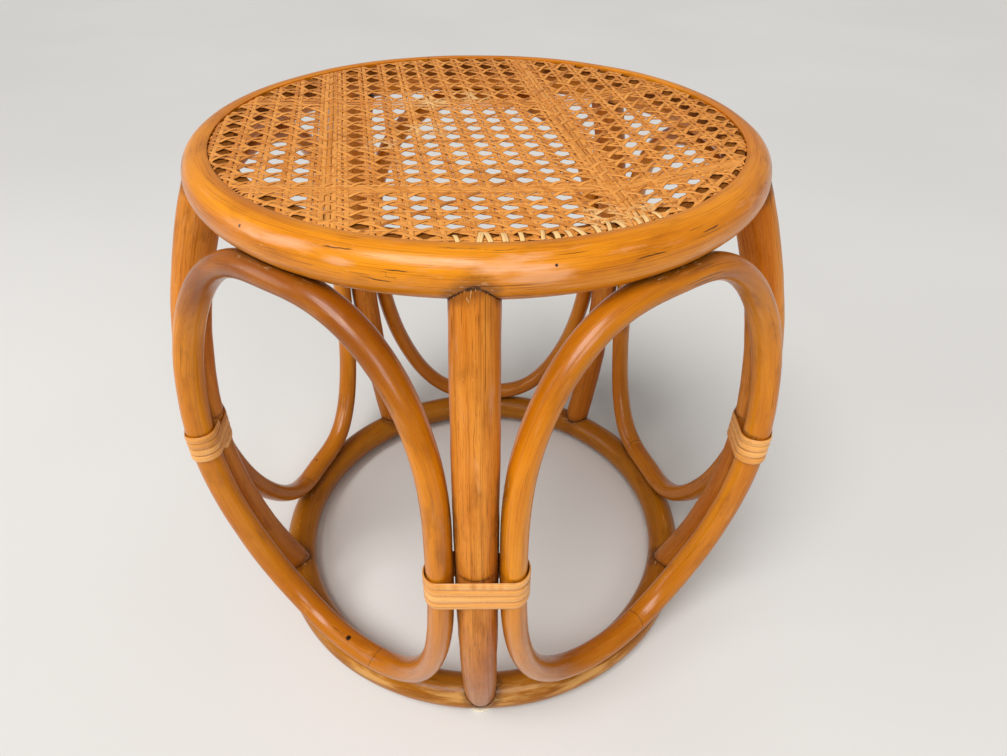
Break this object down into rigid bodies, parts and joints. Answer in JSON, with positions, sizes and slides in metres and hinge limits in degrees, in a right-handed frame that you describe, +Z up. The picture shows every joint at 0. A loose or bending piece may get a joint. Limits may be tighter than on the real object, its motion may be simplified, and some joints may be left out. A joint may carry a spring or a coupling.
{
  "type": "stool",
  "caption": "Round rattan stool: bowed posts and bent loops stand on a base ring and carry a seat hoop with an open-weave cane seat, held by cane peel bindings.",
  "frame": {"origin": "on the floor, under the middle of the stool's overall box; the axis of the seat hoop and base ring stands 15.6 mm behind it, towards +Y, because the posts and loops are five-fold", "axes": "+Z up; -Y towards the post that faces the front; +X to the right seen from the front"},
  "size_m": [0.479, 0.457, 0.4314],
  "materials": {
    "hoop_pole": "peeled rattan pole, clear honey lacquer, satin to gloss",
    "loop_pole": "peeled rattan pole bent with heat, clear honey lacquer, satin to gloss",
    "post_pole": "peeled rattan pole with dark streaks along it, satin lacquer",
    "base_pole": "peeled rattan pole, worn satin lacquer",
    "inner_ring": "flat bent wood ring, light lacquer",
    "cane_webbing": "woven cane strands, satin",
    "cane_peel": "flat strip of cane peel, satin",
    "dowel_wood": "raw turned wood",
    "steel": "plain wire nails and zinc-plated screws",
    "glide_plastic": "moulded off-white plastic"
  },
  "bodies": {
    "root": {"base_ring": "base_pole", "seat_hoop": "hoop_pole", "panel_ring": "inner_ring", "cane_webbing": "cane_webbing", "post_front": "post_pole", "loop_front_right": "loop_pole", "binding_front": "cane_peel", "foot_screw_front": "steel", "head_dowel_front": "dowel_wood", "lower_nail_front_right": "steel", "upper_nail_front_right": "steel", "post_right": "post_pole", "loop_right": "loop_pole", "binding_right": "cane_peel", "foot_screw_right": "steel", "head_dowel_right": "dowel_wood", "lower_nail_right": "steel", "upper_nail_right": "steel", "post_back_right": "post_pole", "loop_back": "loop_pole", "binding_back_right": "cane_peel", "foot_screw_back_right": "steel", "head_dowel_back_right": "dowel_wood", "lower_nail_back": "steel", "upper_nail_back": "steel", "post_back_left": "post_pole", "loop_left": "loop_pole", "binding_back_left": "cane_peel", "foot_screw_back_left": "steel", "head_dowel_back_left": "dowel_wood", "lower_nail_left": "steel", "upper_nail_left": "steel", "post_left": "post_pole", "loop_front_left": "loop_pole", "binding_left": "cane_peel", "foot_screw_left": "steel", "head_dowel_left": "dowel_wood", "lower_nail_front_left": "steel", "upper_nail_front_left": "steel", "glide_1": "glide_plastic", "glide_2": "glide_plastic", "glide_3": "glide_plastic", "glide_4": "glide_plastic", "panel_brad_1": "steel", "panel_brad_2": "steel", "panel_brad_3": "steel", "panel_brad_4": "steel", "panel_brad_5": "steel", "panel_brad_6": "steel", "panel_brad_7": "steel"}
  },
  "joints": []
}
